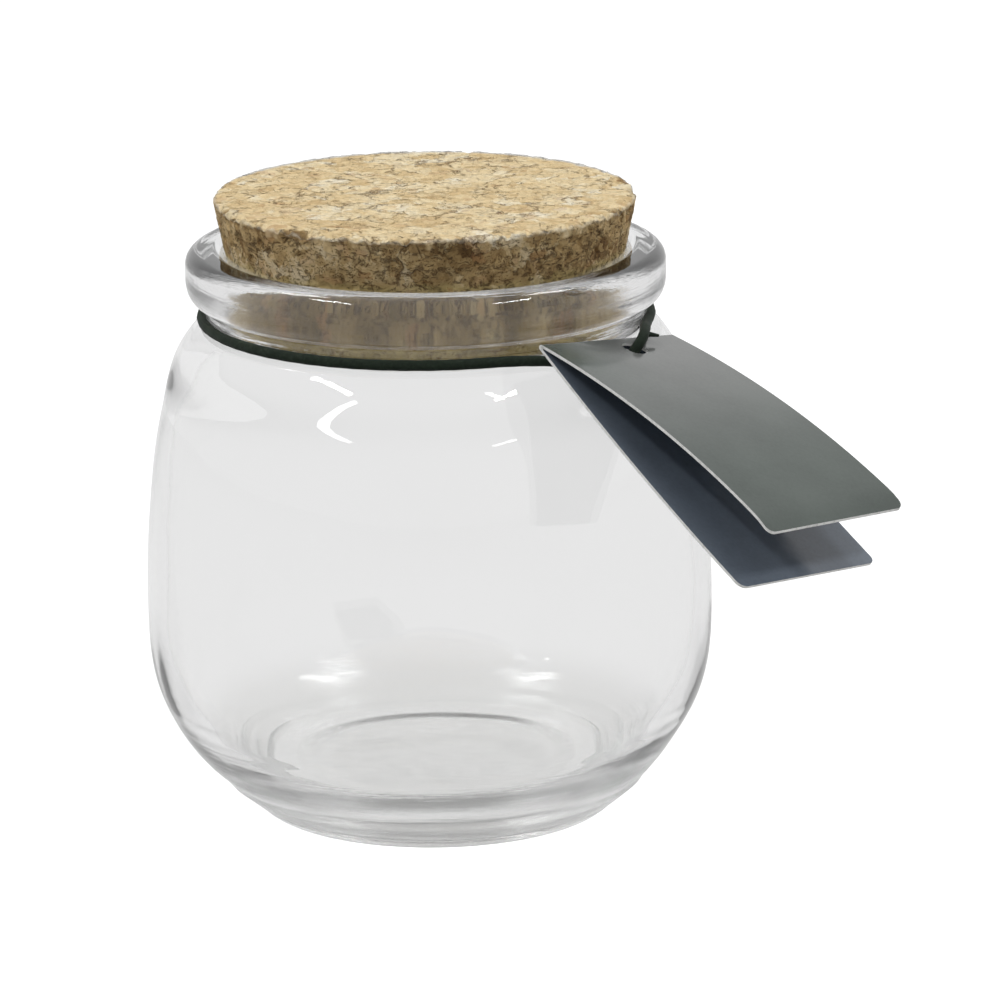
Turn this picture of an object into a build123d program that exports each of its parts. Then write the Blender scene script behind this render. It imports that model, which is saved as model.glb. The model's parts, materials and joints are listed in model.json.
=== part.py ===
from build123d import *
import math
import os

# Glass storage jar with a tapered cork, an elastic loop in the neck groove and a folded swing tag.
# Millimetres. +Z is up, the origin is the centre of the foot on the table, and the front faces -Y.

# Jar body
BODY_D = 100.0
WALL = 3.0
BELLY_Z = 38.5
SHOULDER_Z = 87.0
RIM_Z = 101.0

# Foot and base
FOOT_D = 61.0
FOOT_INNER_D = 48.0
FOOT_ROUND = 1.2
HEEL_D = 74.4
HEEL_Z = 6.5
PUSH_UP = 2.6
FLOOR_D = 60.0
FLOOR_Z = 8.5

# Cork stopper, whose cone gives the bore its diameter
CORK_TOP_D = 74.2
CORK_H = 22.5
CORK_PROUD = 9.2
CORK_TAPER_DEG = 11.5
CORK_TOP_CHAMFER = 0.4
CORK_FOOT_CHAMFER = 1.0
CORK_FIT = 0.05

# Neck and rim bead
NECK_WALL = 3.58
BORE_DEPTH = 11.5
BEAD_STANDOUT = 1.35
BEAD_UNDER_LENGTH = 6.0
BEAD_TOP_ROUND = 2.6
LIP_ROUND = 2.6
GROOVE_EDGE_ROUND = 0.5

# Elastic loop
ELASTIC_D = 1.8
GROOVE_FIT = 0.06
TAIL_ROOT_D = 1.6
TAIL_END_D = 0.5

# Folded tag
TAG_W = 34.0
TAG_L = 58.0
CARD_T = 0.5
TAG_CORNER_R = 1.6
TAG_HOLE_D = 4.5
TAG_HOLE_FROM_FOLD = 4.0
TAG_HOLE_OFF_CENTRE = 2.5
CREASE_FIT = 0.05
TAG_FOLD_OFF_BEAD = 1.45
TAG_FOLD_ABOVE_GROOVE = 1.7
TAG_TURN_DEG = 46.0
TAG_ROLL_DEG = 4.3
TAG_SLOPE_DEG = 23.0
TAG_OPEN_DEG = 11.4

# Curves of the glass, as shares of the rise and of the step out that each curve spans
BOWL_RISE_SHARES = [0.17, 0.46]
BOWL_OUT_SHARES = [0.43, 0.84]
SHOULDER_RISE_SHARES = [0.32, 0.69, 0.93]
SHOULDER_IN_SHARES = [0.07, 0.34, 0.72]
INNER_RISE_SHARES = [0.17, 0.46]
INNER_OUT_SHARES = [0.53, 0.86]
SHOULDER_SLOPE_SHARE = 0.62
FLOOR_SLOPE_SHARE = 0.30
BORE_FLARE_SHARE = 0.16
SHOULDER_LIP_SHARE = 0.45
BEAD_BELLY_RISE_SHARE = 0.42
BEAD_BELLY_OUT_SHARE = 0.80
DOME_OUT_SHARE = 0.5
DOME_RISE_SHARE = 0.75

# The elastic's free route, chosen by hand: how far it runs straight out of the groove, then its
# points in the tag's frame, under both leaves, up through their holes and over the fold.
# The tail is the cut end beside the hole.
UNDER_RUN = 12.0
OVER_RUN = 8.0
BELOW_HOLE = (1.5, -3.5, -4.0)
ABOVE_HOLE = (3.6, -4.1, 2.4)
ABOVE_FOLD = (9.4, 0.6, 1.7)
TAIL_ROOT = (8.0, -0.4, 1.9)
TAIL_TIP = (11.4, 0.2, 1.7)
HOLE_BEND_R = 2.4
RUN_USED_SHARE = 0.45

# Values that follow from the sizes above
BODY_R = BODY_D / 2
CORK_TAPER = math.radians(CORK_TAPER_DEG)
CORK_SLANT = math.tan(CORK_TAPER)
CORK_TOP_Z = RIM_Z + CORK_PROUD
LIP_CENTRE_Z = RIM_Z - LIP_ROUND
TOUCH_Z = LIP_CENTRE_Z + (LIP_ROUND + CORK_FIT) * math.sin(CORK_TAPER)
TOUCH_R = CORK_TOP_D / 2 - (CORK_TOP_Z - TOUCH_Z) * CORK_SLANT
LIP_CENTRE_R = TOUCH_R + (LIP_ROUND + CORK_FIT) * math.cos(CORK_TAPER)
BORE_R = LIP_CENTRE_R - LIP_ROUND
GROOVE_LOW_Z = SHOULDER_Z + ELASTIC_D * SHOULDER_LIP_SHARE + GROOVE_FIT
GROOVE_HIGH_Z = GROOVE_LOW_Z + ELASTIC_D + 2 * GROOVE_FIT
GROOVE_MID_Z = (GROOVE_LOW_Z + GROOVE_HIGH_Z) / 2
GROOVE_R = BORE_R + NECK_WALL
GROOVE_LIP_R = GROOVE_R + GROOVE_EDGE_ROUND
LOOP_R = GROOVE_R + GROOVE_FIT + ELASTIC_D / 2
SHOULDER_R = GROOVE_LIP_R + ELASTIC_D + 2 * GROOVE_FIT
BEAD_R = SHOULDER_R + BEAD_STANDOUT
TAG_FOLD_R = BEAD_R + TAG_FOLD_OFF_BEAD


def outer_wall():
    """Outside of the glass, from the foot up to the land on top of the rim."""
    foot_r = FOOT_D / 2
    heel_r = HEEL_D / 2
    bowl = [(heel_r, HEEL_Z)]
    for rise, out in zip(BOWL_RISE_SHARES, BOWL_OUT_SHARES):
        bowl.append((heel_r + out * (BODY_R - heel_r), HEEL_Z + rise * (BELLY_Z - HEEL_Z)))
    bowl.append((BODY_R, BELLY_Z))
    shoulder = [(BODY_R, BELLY_Z)]
    for rise, inward in zip(SHOULDER_RISE_SHARES, SHOULDER_IN_SHARES):
        shoulder.append((BODY_R - inward * (BODY_R - SHOULDER_R), BELLY_Z + rise * (SHOULDER_Z - BELLY_Z)))
    shoulder.append((SHOULDER_R, SHOULDER_Z))
    foot_side = (foot_r + (heel_r - foot_r) * FOOT_ROUND / HEEL_Z, FOOT_ROUND)
    bead_low = (GROOVE_LIP_R, GROOVE_HIGH_Z)
    bead_high = (BEAD_R, GROOVE_HIGH_Z + BEAD_UNDER_LENGTH)
    bead_mid = (
        GROOVE_LIP_R + BEAD_BELLY_OUT_SHARE * (BEAD_R - GROOVE_LIP_R),
        GROOVE_HIGH_Z + BEAD_BELLY_RISE_SHARE * BEAD_UNDER_LENGTH,
    )
    bead_shoulder = (BEAD_R, RIM_Z - BEAD_TOP_ROUND)
    land = (BEAD_R - BEAD_TOP_ROUND, RIM_Z)
    return [
        TangentArc((foot_r - FOOT_ROUND, 0), foot_side, tangent=(1, 0)),
        Line(foot_side, (heel_r, HEEL_Z)),
        Spline(bowl, tangents=[(1, 1), (0, 1)]),
        Spline(shoulder, tangents=[(0, 1), (-SHOULDER_SLOPE_SHARE, SHOULDER_SLOPE_SHARE)]),
        Line((SHOULDER_R, SHOULDER_Z), (GROOVE_LIP_R, GROOVE_LOW_Z)),
        Line((GROOVE_LIP_R, GROOVE_LOW_Z), (GROOVE_R, GROOVE_LOW_Z)),
        Line((GROOVE_R, GROOVE_LOW_Z), (GROOVE_R, GROOVE_HIGH_Z)),
        Line((GROOVE_R, GROOVE_HIGH_Z), bead_low),
        ThreePointArc(bead_low, bead_mid, bead_high),
        Line(bead_high, bead_shoulder),
        TangentArc(bead_shoulder, land, tangent=(0, 1)),
        Line(land, (LIP_CENTRE_R, RIM_Z)),
    ]


def inner_wall():
    """Inside of the glass, from the rounded lip down to the centre of the floor."""
    floor_r = FLOOR_D / 2
    belly_r = BODY_R - WALL
    bore_end_z = RIM_Z - BORE_DEPTH
    shoulder = [(BORE_R, bore_end_z)]
    for rise, inward in zip(reversed(SHOULDER_RISE_SHARES[:-1]), reversed(SHOULDER_IN_SHARES[:-1])):
        shoulder.append((belly_r - inward * (belly_r - BORE_R), BELLY_Z + rise * (bore_end_z - BELLY_Z)))
    shoulder.append((belly_r, BELLY_Z))
    bowl = [(belly_r, BELLY_Z)]
    for rise, out in zip(reversed(INNER_RISE_SHARES), reversed(INNER_OUT_SHARES)):
        bowl.append((floor_r + out * (belly_r - floor_r), FLOOR_Z + rise * (BELLY_Z - FLOOR_Z)))
    bowl.append((floor_r, FLOOR_Z))
    return [
        TangentArc((LIP_CENTRE_R, RIM_Z), (BORE_R, LIP_CENTRE_Z), tangent=(-1, 0)),
        Line((BORE_R, LIP_CENTRE_Z), (BORE_R, bore_end_z)),
        Spline(shoulder, tangents=[(BORE_FLARE_SHARE, -1), (0, -1)]),
        Spline(bowl, tangents=[(0, -1), (-1, -FLOOR_SLOPE_SHARE)]),
        Line((floor_r, FLOOR_Z), (0, FLOOR_Z)),
    ]


def underside():
    """Centre line, domed push-up and the flat ring that the jar stands on."""
    ring_r = FOOT_INNER_D / 2
    dome_mid = (ring_r * DOME_OUT_SHARE, PUSH_UP * DOME_RISE_SHARE)
    return [
        Line((0, FLOOR_Z), (0, PUSH_UP)),
        ThreePointArc((0, PUSH_UP), dome_mid, (ring_r, 0)),
        Line((ring_r, 0), (FOOT_D / 2 - FOOT_ROUND, 0)),
    ]


def make_jar():
    """Pressed glass body: one closed section turned about the jar's axis."""
    edges = outer_wall() + inner_wall() + underside()
    section = Plane.XZ * make_face(edges)
    return revolve(section, Axis.Z)


def make_cork():
    """Tapered stopper, seated where its cone meets the rounded lip of the bore."""
    top_r = CORK_TOP_D / 2
    foot_r = top_r - CORK_H * CORK_SLANT
    foot_z = CORK_TOP_Z - CORK_H
    outline = Polyline(
        (0, foot_z),
        (foot_r - CORK_FOOT_CHAMFER, foot_z),
        (foot_r + CORK_FOOT_CHAMFER * CORK_SLANT, foot_z + CORK_FOOT_CHAMFER),
        (top_r - CORK_TOP_CHAMFER * CORK_SLANT, CORK_TOP_Z - CORK_TOP_CHAMFER),
        (top_r - CORK_TOP_CHAMFER, CORK_TOP_Z),
        (0, CORK_TOP_Z),
        close=True,
    )
    return revolve(Plane.XZ * make_face(outline), Axis.Z)


def tag_plane():
    """Frame on the crease: X runs along the fold, Y points at the jar and Z out of the front leaf."""
    turn = math.radians(TAG_TURN_DEG)
    roll = math.radians(TAG_ROLL_DEG)
    slope = math.radians(TAG_SLOPE_DEG)
    outward = Vector(math.sin(turn), -math.cos(turn), 0)
    along = Vector(math.cos(turn), math.sin(turn), 0)
    up = Vector(0, 0, 1)
    fold = along * math.cos(roll) - up * math.sin(roll)
    raised = up * math.cos(roll) + along * math.sin(roll)
    normal = outward * math.sin(slope) + raised * math.cos(slope)
    centre = outward * TAG_FOLD_R + up * (GROOVE_MID_Z + TAG_FOLD_ABOVE_GROOVE)
    return Plane(origin=centre, x_dir=fold, z_dir=normal)


def leaf_blank(start):
    """One leaf of the card, lying on its inner face, from a line beside the fold to its free edge."""
    length = TAG_L - start
    sheet = Pos(0, -start - length / 2, CARD_T / 2) * Box(TAG_W, length, CARD_T)
    free_corners = sheet.edges().filter_by(Axis.Z).group_by(Axis.Y)[0]
    sheet = fillet(free_corners, TAG_CORNER_R)
    hole = Pos(TAG_HOLE_OFF_CENTRE, -TAG_HOLE_FROM_FOLD, CARD_T / 2)
    return sheet - hole * Cylinder(TAG_HOLE_D / 2, 2 * CARD_T)


def make_front_leaf():
    """Front leaf, which also carries the rounded spine of the fold."""
    spine = Cylinder(CARD_T, TAG_W, rotation=(0, 90, 0))
    return tag_plane() * (leaf_blank(0) + spine)


def make_back_leaf():
    """Back leaf, hollowed along its edge so that it turns round the spine."""
    spine_room = Cylinder(CARD_T + CREASE_FIT, 2 * TAG_W, rotation=(0, 90, 0))
    blank = mirror(leaf_blank(CARD_T), Plane.XY) - spine_room
    return tag_plane() * (Rot(TAG_OPEN_DEG, 0, 0) * blank)


def loop_angle(side):
    """Angle from +X at which the loop leaves the groove on its way to the tag's hole."""
    hole = tag_plane().from_local_coords(Vector(TAG_HOLE_OFF_CENTRE, -TAG_HOLE_FROM_FOLD, 0))
    reach = math.hypot(hole.X, hole.Y)
    return math.atan2(hole.Y, hole.X) + side * math.acos(LOOP_R / reach)


def loop_point(side, run):
    """A point on the straight stretch of the loop, a given run from where it leaves the groove."""
    angle = loop_angle(side)
    x = LOOP_R * math.cos(angle) + side * run * math.sin(angle)
    y = LOOP_R * math.sin(angle) - side * run * math.cos(angle)
    return Vector(x, y, GROOVE_MID_Z)


def elastic_route():
    """Corners of the free route, from the groove in front to the groove at the side."""
    frame = tag_plane()
    in_tag = [frame.from_local_coords(Vector(*point)) for point in (BELOW_HOLE, ABOVE_HOLE, ABOVE_FOLD)]
    return [loop_point(-1, 0), loop_point(-1, UNDER_RUN), *in_tag, loop_point(1, OVER_RUN), loop_point(1, 0)]


def bend_radii(points):
    """Radius of each bend: as large as its runs allow, and tight on both sides of the hole."""
    radii = []
    for before, here, after in zip(points, points[1:], points[2:]):
        turn = math.radians((here - before).get_angle(after - here))
        shorter = min((here - before).length, (after - here).length)
        radii.append(RUN_USED_SHARE * shorter / math.tan(turn / 2))
    below_hole, above_hole = 1, 2
    for bend in (below_hole, above_hole):
        radii[bend] = min(radii[bend], HOLE_BEND_R)
    return radii


def make_tail():
    """Tapered cut end of the elastic, standing off the loop beside the hole."""
    frame = tag_plane()
    root = frame.from_local_coords(Vector(*TAIL_ROOT))
    tip = frame.from_local_coords(Vector(*TAIL_TIP))
    middle = Plane(origin=(root + tip) / 2, z_dir=tip - root)
    return middle * Cone(TAIL_ROOT_D / 2, TAIL_END_D / 2, (tip - root).length)


def make_elastic():
    """Closed elastic loop: most of a ring in the groove, then the route through the tag."""
    points = elastic_route()
    radii = bend_radii(points)
    path = FilletPolyline(*points, radius=radii)
    start = Plane(origin=path @ 0, z_dir=path % 0)
    free_part = sweep(start * Circle(ELASTIC_D / 2), path=path)
    first, last = loop_angle(-1), loop_angle(1)
    covered = 2 * math.pi - (last - first)
    wire = Pos(LOOP_R, 0, GROOVE_MID_Z) * (Plane.XZ * Circle(ELASTIC_D / 2))
    ring = Rot(0, 0, math.degrees(last)) * revolve(wire, Axis.Z, revolution_arc=math.degrees(covered))
    section = math.pi * ELASTIC_D**2 / 4
    print("elastic bends, radius in mm:", [round(radius, 2) for radius in radii])
    print("elastic length in mm:", round(path.length + LOOP_R * covered, 1))
    print("free part, volume over section times length:", round(free_part.volume / (section * path.length), 4))
    return free_part + ring + make_tail()


PARTS = {
    "jar_body": make_jar,
    "cork_stopper": make_cork,
    "neck_elastic": make_elastic,
    "tag_front_leaf": make_front_leaf,
    "tag_back_leaf": make_back_leaf,
}

os.makedirs("parts", exist_ok=True)
for node, make in PARTS.items():
    export_step(make(), f"parts/{node}.step")
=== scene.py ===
import json
import math

import bmesh
import bpy
import numpy as np
from mathutils import Matrix, Vector, noise


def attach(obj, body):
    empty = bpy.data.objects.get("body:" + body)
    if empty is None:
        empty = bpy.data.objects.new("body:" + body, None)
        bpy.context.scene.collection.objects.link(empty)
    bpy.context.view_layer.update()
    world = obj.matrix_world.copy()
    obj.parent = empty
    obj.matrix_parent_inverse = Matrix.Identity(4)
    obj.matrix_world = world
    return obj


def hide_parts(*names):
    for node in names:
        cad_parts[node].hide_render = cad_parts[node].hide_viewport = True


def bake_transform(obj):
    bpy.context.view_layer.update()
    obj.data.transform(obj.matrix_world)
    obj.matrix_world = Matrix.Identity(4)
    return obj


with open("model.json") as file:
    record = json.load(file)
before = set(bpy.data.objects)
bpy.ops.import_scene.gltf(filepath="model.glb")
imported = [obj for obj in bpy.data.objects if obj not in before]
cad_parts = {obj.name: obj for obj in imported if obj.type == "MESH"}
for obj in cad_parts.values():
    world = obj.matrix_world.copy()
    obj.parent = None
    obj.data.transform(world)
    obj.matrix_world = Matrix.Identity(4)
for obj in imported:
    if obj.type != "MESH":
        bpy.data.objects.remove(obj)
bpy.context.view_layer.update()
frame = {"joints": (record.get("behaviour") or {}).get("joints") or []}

# Glass jar with a cork, an elastic loop and a folded tag.
# Sizes are in millimetres, in the frame's axes, and meshes are turned into metres when they are made.

MM = 0.001
UP = Vector((0, 0, 1))

# The jar's sizes, as in the frame
BODY_R = 50.0
WALL = 3.0
BELLY_Z = 38.5
SHOULDER_Z = 87.0
SHOULDER_R = 40.8
RIM_Z = 101.0
FOOT_R = 30.5
FOOT_INNER_R = 24.0
FOOT_ROUND = 1.2
HEEL_R = 37.2
HEEL_Z = 6.5
FLOOR_R = 30.0
FLOOR_Z = 8.5
BORE_R = 34.8
BORE_DEPTH = 11.5
BEAD_R = 42.15
BEAD_UNDER_LENGTH = 6.0
BEAD_TOP_ROUND = 2.6
LIP_ROUND = 2.6
GROOVE_R = 38.38
GROOVE_LIP_R = 38.88
GROOVE_LOW_Z = 87.87
GROOVE_HIGH_Z = 89.79
GROOVE_MID_Z = 88.83
BOWL_RISE_SHARES = [0.17, 0.46]
BOWL_OUT_SHARES = [0.43, 0.84]
SHOULDER_RISE_SHARES = [0.32, 0.69, 0.93]
SHOULDER_IN_SHARES = [0.07, 0.34, 0.72]
INNER_RISE_SHARES = [0.17, 0.46]
INNER_OUT_SHARES = [0.53, 0.86]

# Forms of the glass that only the scene has
# A shallow hollow under the base, and how far its edge reaches in and out from the foot's inner side
HOLLOW_Z = 0.35
HOLLOW_EDGE_IN = 3.5
HOLLOW_EDGE_OUT = 1.0
# The mould's seam over the foot, out from the foot's side and up from its round, and a small step at the heel
SEAM_SHAPE = [(0.8, 0), (1.35, 0.50), (1.42, 0.72), (1.85, 0.92)]
HEEL_STEP_IN = 0.7
HEEL_STEP_DOWN = 1.1
# The step under the bead, out from the groove's lip and up from its top, and the bead's lower edge
BEAD_STEP_SHAPE = [(0, 0), (0.12, 1.55), (0.55, 1.9)]
BEAD_EDGE_IN = 1.0
BEAD_EDGE_RISE = 2.9
# How far the foot sits to one side and how much wider it is, the heights between which both go off,
# and the radii between which it widens
FOOT_SHIFT = 0.8
FOOT_SPREAD = 0.8
FOOT_SHIFT_Z = (2, 15.0)
FOOT_SPREAD_R = (20, 30)
# Waves, deeper inside than outside: where they end, and the lengths over which they fade there
WAVE_LOW_Z = 3.0
WAVE_HIGH_Z = 84.0
WAVE_LOW_FADE = 4
WAVE_HIGH_FADE = 12
WAVE_INSIDE = 0.22
WAVE_OUTSIDE = 0.06
# How long the slow and the quick ones are, across and up, and the share of the quick ones
SLOW_ACROSS = 26
SLOW_UP = 40
QUICK_ACROSS = 9
QUICK_UP = 16
QUICK_SHARE = 0.25
# Radii that part the inside from the outside where waves are: at the belly, and lower down
INSIDE_R = 47.3
INSIDE_LOW_R = 46.5
INSIDE_LOW_Z = 30
# Heights between which the softer surface of the neck comes on and goes off, and that of the foot goes off
NECK_MARK_ON = (GROOVE_LOW_Z - 3, GROOVE_HIGH_Z)
NECK_MARK_OFF = (RIM_Z - 3.6, RIM_Z - 2.0)
NECK_MARK_FADES = 0.9
FOOT_MARK_OFF = (7, 18)
GLASS_TURNS = 240
GLASS_SHARP_DEG = 50

# The cork's sizes
CORK_TOP_Z = 110.2
CORK_TOP_R = 37.1
CORK_H = 22.5
CORK_TAPER = math.radians(11.5)

# The elastic's sizes
LOOP_R = 39.34
ELASTIC_R = 0.9

# The tag's sizes
TAG_W = 34.0
TAG_L = 58.0
CARD_T = 0.5
TAG_CORNER_R = 1.6
TAG_HOLE_R = 2.25
TAG_HOLE_FROM_FOLD = 4.0
TAG_HOLE_OFF_CENTRE = 2.5
TAG_SLOPE = math.radians(23.0)
TAG_OPEN = math.radians(11.4)
CARD_SHARP_DEG = 35


# Meshes

def put_in_scene(name, data):
    """A new object in the scene that shows the data."""
    thing = bpy.data.objects.new(name, data)
    bpy.context.scene.collection.objects.link(thing)
    return thing


def mesh_piece(name, verts, faces, body, node, material, sharp_deg=None):
    """A piece made from points in millimetres. It rides on a body and stands for a node of the frame."""
    mesh = bpy.data.meshes.new(name)
    mesh.from_pydata([tuple(v) for v in np.asarray(verts, float) * MM], [], faces)
    mesh.validate()
    mesh.polygons.foreach_set("use_smooth", [True] * len(mesh.polygons))
    if sharp_deg is not None:
        mesh.set_sharp_from_angle(angle=math.radians(sharp_deg))
    piece = put_in_scene(name, mesh)
    mesh.materials.append(material)
    if body:
        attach(piece, body)
    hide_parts(node)
    return piece


def smooth_share(value, low, high):
    """0 at low and 1 at high, with a smooth turn at each end."""
    t = min(1.0, max(0.0, (value - low) / (high - low)))
    return t * t * (3 - 2 * t)


def set_marks(piece, marks, domain="POINT"):
    """Keeps one number for each point or face of the piece under each name, for its material to read."""
    for name, values in marks.items():
        piece.data.attributes.new(name, "FLOAT", domain).data.foreach_set("value", np.float32(values))


def arc(centre, radius, start_deg, end_deg, steps):
    """Points along an arc in the section's plane."""
    angles = np.radians(np.linspace(start_deg, end_deg, steps + 1))
    return [(centre[0] + radius * math.cos(a), centre[1] + radius * math.sin(a)) for a in angles]


def straight(start, end, steps):
    """Evenly spaced points from start to end."""
    shares = np.linspace(0, 1, steps + 1)
    return [tuple(np.array(start) + s * (np.array(end) - np.array(start))) for s in shares]


def flowing(points, start_dir, end_dir, steps):
    """A smooth curve through the points, with given directions at its ends."""
    knots = [np.array(p, float) for p in points]
    gaps = [np.linalg.norm(b - a) for a, b in zip(knots, knots[1:])]
    slopes = [np.array(start_dir, float) / np.linalg.norm(start_dir)]
    for i in range(1, len(knots) - 1):
        before = (knots[i] - knots[i - 1]) / gaps[i - 1]
        after = (knots[i + 1] - knots[i]) / gaps[i]
        slopes.append((before * gaps[i] + after * gaps[i - 1]) / (gaps[i - 1] + gaps[i]))
    slopes.append(np.array(end_dir, float) / np.linalg.norm(end_dir))
    found = []
    for i, gap in enumerate(gaps):
        for t in np.linspace(0, 1, steps + 1)[: -1 if i < len(gaps) - 1 else None]:
            a = (1 + 2 * t) * (1 - t) ** 2 * knots[i] + t * (1 - t) ** 2 * gap * slopes[i]
            b = t * t * (3 - 2 * t) * knots[i + 1] - t * t * (1 - t) * gap * slopes[i + 1]
            found.append(tuple(a + b))
    return found


def join_runs(*runs):
    """One outline from several runs, without doubled points."""
    outline = []
    for run in runs:
        for p in run:
            if not outline or math.dist(outline[-1], p) > 1e-4:
                outline.append(p)
    return outline


def band(first, second, sides, shift=0):
    """The faces between two rings, given by the numbers of their first points. The second may be turned."""
    faces = []
    for k in range(sides):
        n = (k + 1) % sides
        faces.append((first + k, first + n, second + (n + shift) % sides, second + (k + shift) % sides))
    return faces


def lathe(outline, turns, shift=None):
    """Turns a closed outline, whose ends lie on the axis, into a solid of revolution."""
    verts, faces = [], []
    rings = outline[1:-1]
    for r, z in rings:
        for k in range(turns):
            a = 2 * math.pi * k / turns
            verts.append((r * math.cos(a), r * math.sin(a), z))
    verts = np.array(verts)
    if shift is not None:
        verts = shift(verts)
    first, last = len(verts), len(verts) + 1
    verts = np.vstack([verts, (0, 0, outline[0][1]), (0, 0, outline[-1][1])])
    for i in range(len(rings) - 1):
        faces += band(i * turns, (i + 1) * turns, turns)
    top = (len(rings) - 1) * turns
    for k in range(turns):
        n = (k + 1) % turns
        faces.append((first, n, k))
        faces.append((last, top + k, top + n))
    return verts, faces


# Materials

# Glass: its tint, also at the foot, what it absorbs in its thickness, and the tint of its shadow
GLASS_CLEAR = (1, 1, 1)
GLASS_FOOT = (0.86, 0.86, 0.85)
GLASS_BODY = (0.80, 0.803, 0.80, 1)
GLASS_DENSITY = 13
GLASS_SHADOW = (0.86, 0.87, 0.87, 1)
GLASS_IOR = 1.5
# How much of the neck's relief the foot has, how soft each is, and the range of the roughness
FOOT_RELIEF = 0.85
NECK_SOFT = 0.32
FOOT_SOFT = 1.1
GLASS_ROUGH = (0.012, 0.30)
# Cork: the scales of its granules and of the bits in them, and the noise between which its cracks open
GRANULE_SCALE = 190.0
BIT_SCALE = 520.0
CRACK_OPENS = (0.53, 0.60)
# Its tones from dark to pale on top and on the flank; the flank's are darker partly for its rougher cork and
# partly as painted shade
TOP_TONES = [
    (0.14, (0.58, 0.41, 0.205)), (0.30, (0.71, 0.535, 0.29)), (0.5, (0.79, 0.625, 0.365)),
    (0.66, (0.84, 0.70, 0.45)), (0.84, (0.89, 0.80, 0.61))]
FLANK_TONES_WITH_SHADE = [
    (0.12, (0.17, 0.092, 0.030)), (0.30, (0.37, 0.24, 0.102)), (0.5, (0.56, 0.39, 0.182)),
    (0.68, (0.72, 0.54, 0.29)), (0.86, (0.84, 0.69, 0.45))]
# What is laid over them where the mesh or the pattern marks it, with its strength. The pale tones at the lip
# and in the bore are painted light, the pale arris is partly wear and partly a painted highlight, the grey
# back edge is a painted sheen, and the darkening of the front is painted shade
SUNK_TONE = 0.55, (0.47, 0.375, 0.19)
LIP_LIGHT_AND_FOOT_TONE = 0.4, (0.56, 0.46, 0.19)
RUDDY_TONE = 0.30, (0.40, 0.19, 0.08)
WEAR_AND_LIGHT_TONE = 0.7, (0.88, 0.81, 0.66)
EDGE_SHEEN_TONE = 0.9, (0.62, 0.63, 0.63)
FRONT_SHADE_TONE = (0.37, 0.335, 0.26)
GAP_ON_TOP = (0.21, 0.11, 0.042)
GAP_ON_FLANK = (0.115, 0.062, 0.022)
CORK_MARKS = ("side", "chip", "wear_and_painted_light", "front_shade", "low", "painted_edge_sheen", "sunk")
# Elastic and card
ELASTIC_TONES = [(0.3, (0.006, 0.011, 0.006)), (0.55, (0.013, 0.021, 0.013)), (0.8, (0.034, 0.050, 0.034))]
PRINT_FRESH = [(0.35, (0.052, 0.068, 0.058)), (0.65, (0.078, 0.098, 0.085))]
PRINT_WITH_SHEEN = [(0.35, (0.122, 0.126, 0.122)), (0.65, (0.158, 0.164, 0.158))]
PRINT_INSIDE = [(0.35, (0.135, 0.162, 0.200)), (0.65, (0.180, 0.214, 0.260))]
CUT_EDGE_TONES = [(0.3, (0.60, 0.60, 0.58)), (0.5, (0.84, 0.84, 0.82)), (0.75, (0.92, 0.92, 0.90))]


def new_material(name):
    """An empty node material with a Principled shader, and its node tree."""
    material = bpy.data.materials.new(name)
    material.use_nodes = True
    return material, material.node_tree, material.node_tree.nodes["Principled BSDF"]


def set_inputs(tree, node, inputs):
    """Gives a node's own sockets their plain values, or links to them."""
    for key, value in inputs.items():
        if isinstance(value, bpy.types.NodeSocket):
            tree.links.new(value, node.inputs[key])
        else:
            node.inputs[key].default_value = value


def add(tree, kind, inputs=None, **settings):
    """One node, with plain settings and socket values or links."""
    node = tree.nodes.new("ShaderNode" + kind)
    for key, value in settings.items():
        setattr(node, key, value)
    set_inputs(tree, node, inputs or {})
    return node


def ramp(tree, fac, stops):
    """A colour ramp over fac, with (place, colour) stops."""
    node = add(tree, "ValToRGB", {"Fac": fac})
    elements = node.color_ramp.elements
    while len(elements) < len(stops):
        elements.new(0.5)
    for element, (place, colour) in zip(elements, stops):
        element.position = place
        element.color = (*colour, 1)
    return node.outputs["Color"]


def mix_colour(tree, fac, a, b, blend="MIX"):
    """One colour mixed over another. A plain colour is given without its alpha."""
    a, b = (c if isinstance(c, bpy.types.NodeSocket) else (*c, 1) for c in (a, b))
    return add(tree, "Mix", {0: fac, 6: a, 7: b}, data_type="RGBA", blend_type=blend).outputs[2]


def maths(tree, operation, a, b=0.0, clamp=False):
    """One sum, product or other calculation."""
    return add(tree, "Math", {0: a, 1: b}, operation=operation, use_clamp=clamp).outputs[0]


def remap(tree, value, low, high, to_low=0.0, to_high=1.0):
    """The value moved from one range to another, and held inside it."""
    node = add(tree, "MapRange", {"Value": value, "From Min": low, "From Max": high,
                                  "To Min": to_low, "To Max": to_high})
    return node.outputs["Result"]


def noise_value(tree, coords, scale, detail, rough, warp=0.0):
    """Cloudy noise, about 0.5."""
    node = add(tree, "TexNoise", {"Vector": coords, "Scale": scale, "Detail": detail,
                                  "Roughness": rough, "Distortion": warp})
    return node.outputs["Fac"]


def object_coords(tree, stretch=(1, 1, 1), turn=(0, 0, 0)):
    """Places in the piece, in metres, stretched and turned for a pattern with a grain."""
    source = add(tree, "TexCoord").outputs["Object"]
    return add(tree, "Mapping", {"Vector": source, "Scale": stretch, "Rotation": turn}).outputs["Vector"]


def mark(tree, name):
    """A number that the mesh keeps for each of its points or faces."""
    return add(tree, "Attribute", attribute_name=name).outputs["Fac"]


def bump(tree, height, strength, distance, **over):
    """The surface's direction with a fine relief, over another one if Normal is given."""
    inputs = {"Height": height, "Strength": strength, "Distance": distance, **over}
    return add(tree, "Bump", inputs).outputs["Normal"]


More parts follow.
